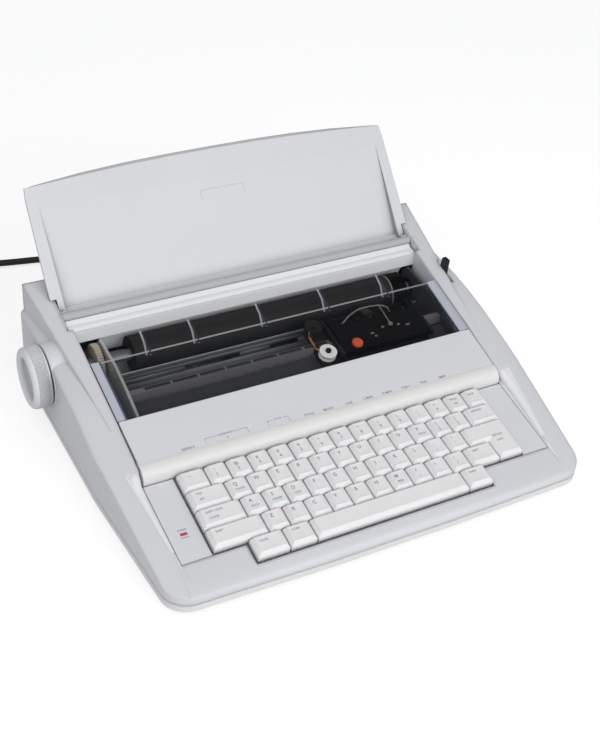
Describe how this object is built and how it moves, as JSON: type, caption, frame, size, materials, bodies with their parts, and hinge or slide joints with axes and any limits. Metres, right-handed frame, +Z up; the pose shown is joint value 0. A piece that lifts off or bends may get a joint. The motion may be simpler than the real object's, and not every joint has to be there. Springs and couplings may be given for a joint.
{
  "type": "electronic typewriter",
  "caption": "Low portable electronic typewriter with a sloping keyboard, clear window cover, raised paper support, platen knob and daisy-wheel carriage.",
  "frame": {"origin": "middle of the case on the underside of the base pan, 3.5 mm above the table", "axes": "+X to the typist's right, +Y away from the typist, +Z up"},
  "size_m": [0.4998, 0.5353, 0.1829],
  "materials": {
    "case": "fine texture",
    "pan": "fine texture",
    "bezel": "smooth",
    "keycap": "smooth",
    "clear": "clear",
    "lamp": "clear red",
    "rubber": "matt",
    "steel": "ground",
    "sheet": "plated",
    "brass": "turned",
    "black": "matt",
    "dark": "matt",
    "white": "smooth",
    "board": "lacquer",
    "iron": "varnished",
    "motor": "satin",
    "copper": "enamelled",
    "cord": "matt"
  },
  "bodies": {
    "chassis": {"base_pan": "pan", "upper_housing": "case", "keyboard_bezel": "bezel", "power_lamp": "lamp", "rubber_feet": "rubber", "case_screws": "steel", "left_side_frame": "sheet", "right_side_frame": "sheet", "carriage_shaft": "steel", "line_scale": "sheet", "well_tray": "dark", "paper_pan": "sheet", "platen_bushes": "brass", "line_feed_motor": "motor", "carriage_motor": "motor", "drive_belt": "rubber", "main_board": "board", "transformer": "iron", "keyboard_plate": "dark", "key_circuit": "board", "lid_hinge_pins": "steel", "cord_gland": "cord", "cord_run": "cord", "cord_coil": "cord", "cord_tie": "dark", "plug": "cord"},
    "lid": {"paper_support": "case"},
    "cover": {"top_cover": "case", "window": "clear"},
    "platen": {"platen_roller": "rubber", "platen_shaft": "steel", "platen_gear": "white", "platen_knob": "case"},
    "idler": {"idler_gear": "white"},
    "pinion": {"motor_pinion": "brass"},
    "feed": {"feed_rollers": "rubber", "feed_shaft": "steel"},
    "lever": {"release_lever": "black"},
    "carriage": {"carriage_frame": "dark", "wheel_motor": "motor", "hammer_coil": "copper", "ribbon_cassette": "black", "correction_spools": "white"},
    "print_wheel": {"daisy_wheel": "dark"},
    "hammer": {"hammer_pin": "steel"},
    "right_pulley": {"drive_pulley": "white"},
    "left_pulley": {"idler_pulley": "white"},
    "body_row1_keys": {"row1_keys": "keycap"},
    "body_row2_keys": {"row2_keys": "keycap"},
    "body_row3_keys": {"row3_keys": "keycap"},
    "body_row4_keys": {"row4_keys": "keycap"},
    "body_row5_keys": {"row5_keys": "keycap"},
    "body_tab_key": {"tab_key": "keycap"},
    "body_lock_key": {"lock_key": "keycap"},
    "body_left_shift_key": {"left_shift_key": "keycap"},
    "body_right_shift_key": {"right_shift_key": "keycap"},
    "body_return_key": {"return_key": "keycap"},
    "body_space_bar": {"space_bar": "keycap"}
  },
  "joints": [
    {"name": "lid_hinge", "type": "hinge", "parent": "chassis", "child": "lid", "pos_m": [0, 0.1205, 0.08903], "axis": [-1, 0, 0], "range_deg": [-145, 0]},
    {"name": "cover_hinge", "type": "hinge", "parent": "chassis", "child": "cover", "pos_m": [0, -0.042, 0.04233], "axis": [1, 0, 0], "range_deg": [0, 80]},
    {"name": "platen_turn", "type": "hinge", "parent": "chassis", "child": "platen", "pos_m": [0, 0.094, 0.0545], "axis": [1, 0, 0], "continuous": true},
    {"name": "idler_turn", "type": "hinge", "parent": "chassis", "child": "idler", "pos_m": [-0.155, 0.11545, 0.0365], "axis": [1, 0, 0], "continuous": true},
    {"name": "pinion_turn", "type": "hinge", "parent": "chassis", "child": "pinion", "pos_m": [-0.155, 0.12385, 0.02195], "axis": [1, 0, 0], "continuous": true},
    {"name": "feed_turn", "type": "hinge", "parent": "chassis", "child": "feed", "pos_m": [0, 0.09977, 0.03296], "axis": [1, 0, 0], "continuous": true},
    {"name": "release_pull", "type": "hinge", "parent": "chassis", "child": "lever", "pos_m": [0.18875, 0.084, 0.04], "axis": [1, 0, 0], "range_deg": [0, 16]},
    {"name": "carriage_slide", "type": "slide", "parent": "chassis", "child": "carriage", "axis": [1, 0, 0], "range_m": [-0.17, 0.018]},
    {"name": "wheel_turn", "type": "hinge", "parent": "carriage", "child": "print_wheel", "pos_m": [0.095, 0.0656, 0.0351], "axis": [0, 0.9397, -0.342], "continuous": true},
    {"name": "hammer_strike", "type": "slide", "parent": "carriage", "child": "hammer", "axis": [0, 0.9848, -0.1736], "range_m": [0, 0.0015], "stiffness_N_per_m": 200, "springref_m": -0.001},
    {"name": "right_pulley_turn", "type": "hinge", "parent": "chassis", "child": "right_pulley", "pos_m": [0.14, 0.022, 0.023], "axis": [0, 0, 1], "range_deg": [-130, 1130]},
    {"name": "left_pulley_turn", "type": "hinge", "parent": "chassis", "child": "left_pulley", "pos_m": [-0.135, 0.022, 0.023], "axis": [0, 0, 1], "range_deg": [-130, 1130]},
    {"name": "row1_keys_press", "type": "slide", "parent": "chassis", "child": "body_row1_keys", "axis": [0, 0.1736, -0.9848], "range_m": [0, 0.0038], "stiffness_N_per_m": 2250, "springref_m": -0.003},
    {"name": "row2_keys_press", "type": "slide", "parent": "chassis", "child": "body_row2_keys", "axis": [0, 0.1736, -0.9848], "range_m": [0, 0.0038], "stiffness_N_per_m": 1950, "springref_m": -0.003},
    {"name": "row3_keys_press", "type": "slide", "parent": "chassis", "child": "body_row3_keys", "axis": [0, 0.1736, -0.9848], "range_m": [0, 0.0038], "stiffness_N_per_m": 1650, "springref_m": -0.003},
    {"name": "row4_keys_press", "type": "slide", "parent": "chassis", "child": "body_row4_keys", "axis": [0, 0.1736, -0.9848], "range_m": [0, 0.0038], "stiffness_N_per_m": 1500, "springref_m": -0.003},
    {"name": "row5_keys_press", "type": "slide", "parent": "chassis", "child": "body_row5_keys", "axis": [0, 0.1736, -0.9848], "range_m": [0, 0.0038], "stiffness_N_per_m": 450, "springref_m": -0.003},
    {"name": "tab_key_press", "type": "slide", "parent": "chassis", "child": "body_tab_key", "axis": [0, 0.1736, -0.9848], "range_m": [0, 0.0038], "stiffness_N_per_m": 150, "springref_m": -0.003},
    {"name": "lock_key_press", "type": "slide", "parent": "chassis", "child": "body_lock_key", "axis": [0, 0.1736, -0.9848], "range_m": [0, 0.0038], "stiffness_N_per_m": 150, "springref_m": -0.003},
    {"name": "left_shift_key_press", "type": "slide", "parent": "chassis", "child": "body_left_shift_key", "axis": [0, 0.1736, -0.9848], "range_m": [0, 0.0038], "stiffness_N_per_m": 150, "springref_m": -0.003},
    {"name": "right_shift_key_press", "type": "slide", "parent": "chassis", "child": "body_right_shift_key", "axis": [0, 0.1736, -0.9848], "range_m": [0, 0.0038], "stiffness_N_per_m": 150, "springref_m": -0.003},
    {"name": "return_key_press", "type": "slide", "parent": "chassis", "child": "body_return_key", "axis": [0, 0.1736, -0.9848], "range_m": [0, 0.0038], "stiffness_N_per_m": 150, "springref_m": -0.003},
    {"name": "space_bar_press", "type": "slide", "parent": "chassis", "child": "body_space_bar", "axis": [0, 0.1736, -0.9848], "range_m": [0, 0.0038], "stiffness_N_per_m": 300, "springref_m": -0.003}
  ],
  "couplings": [
    {"joint": "idler_turn", "follows": "platen_turn", "ratio": -1.3333},
    {"joint": "pinion_turn", "follows": "platen_turn", "ratio": 3.3333},
    {"joint": "feed_turn", "follows": "platen_turn", "ratio": -2.6667},
    {"joint": "right_pulley_turn", "follows": "carriage_slide", "rad_per_m": -114.29},
    {"joint": "left_pulley_turn", "follows": "carriage_slide", "rad_per_m": -114.29}
  ]
}
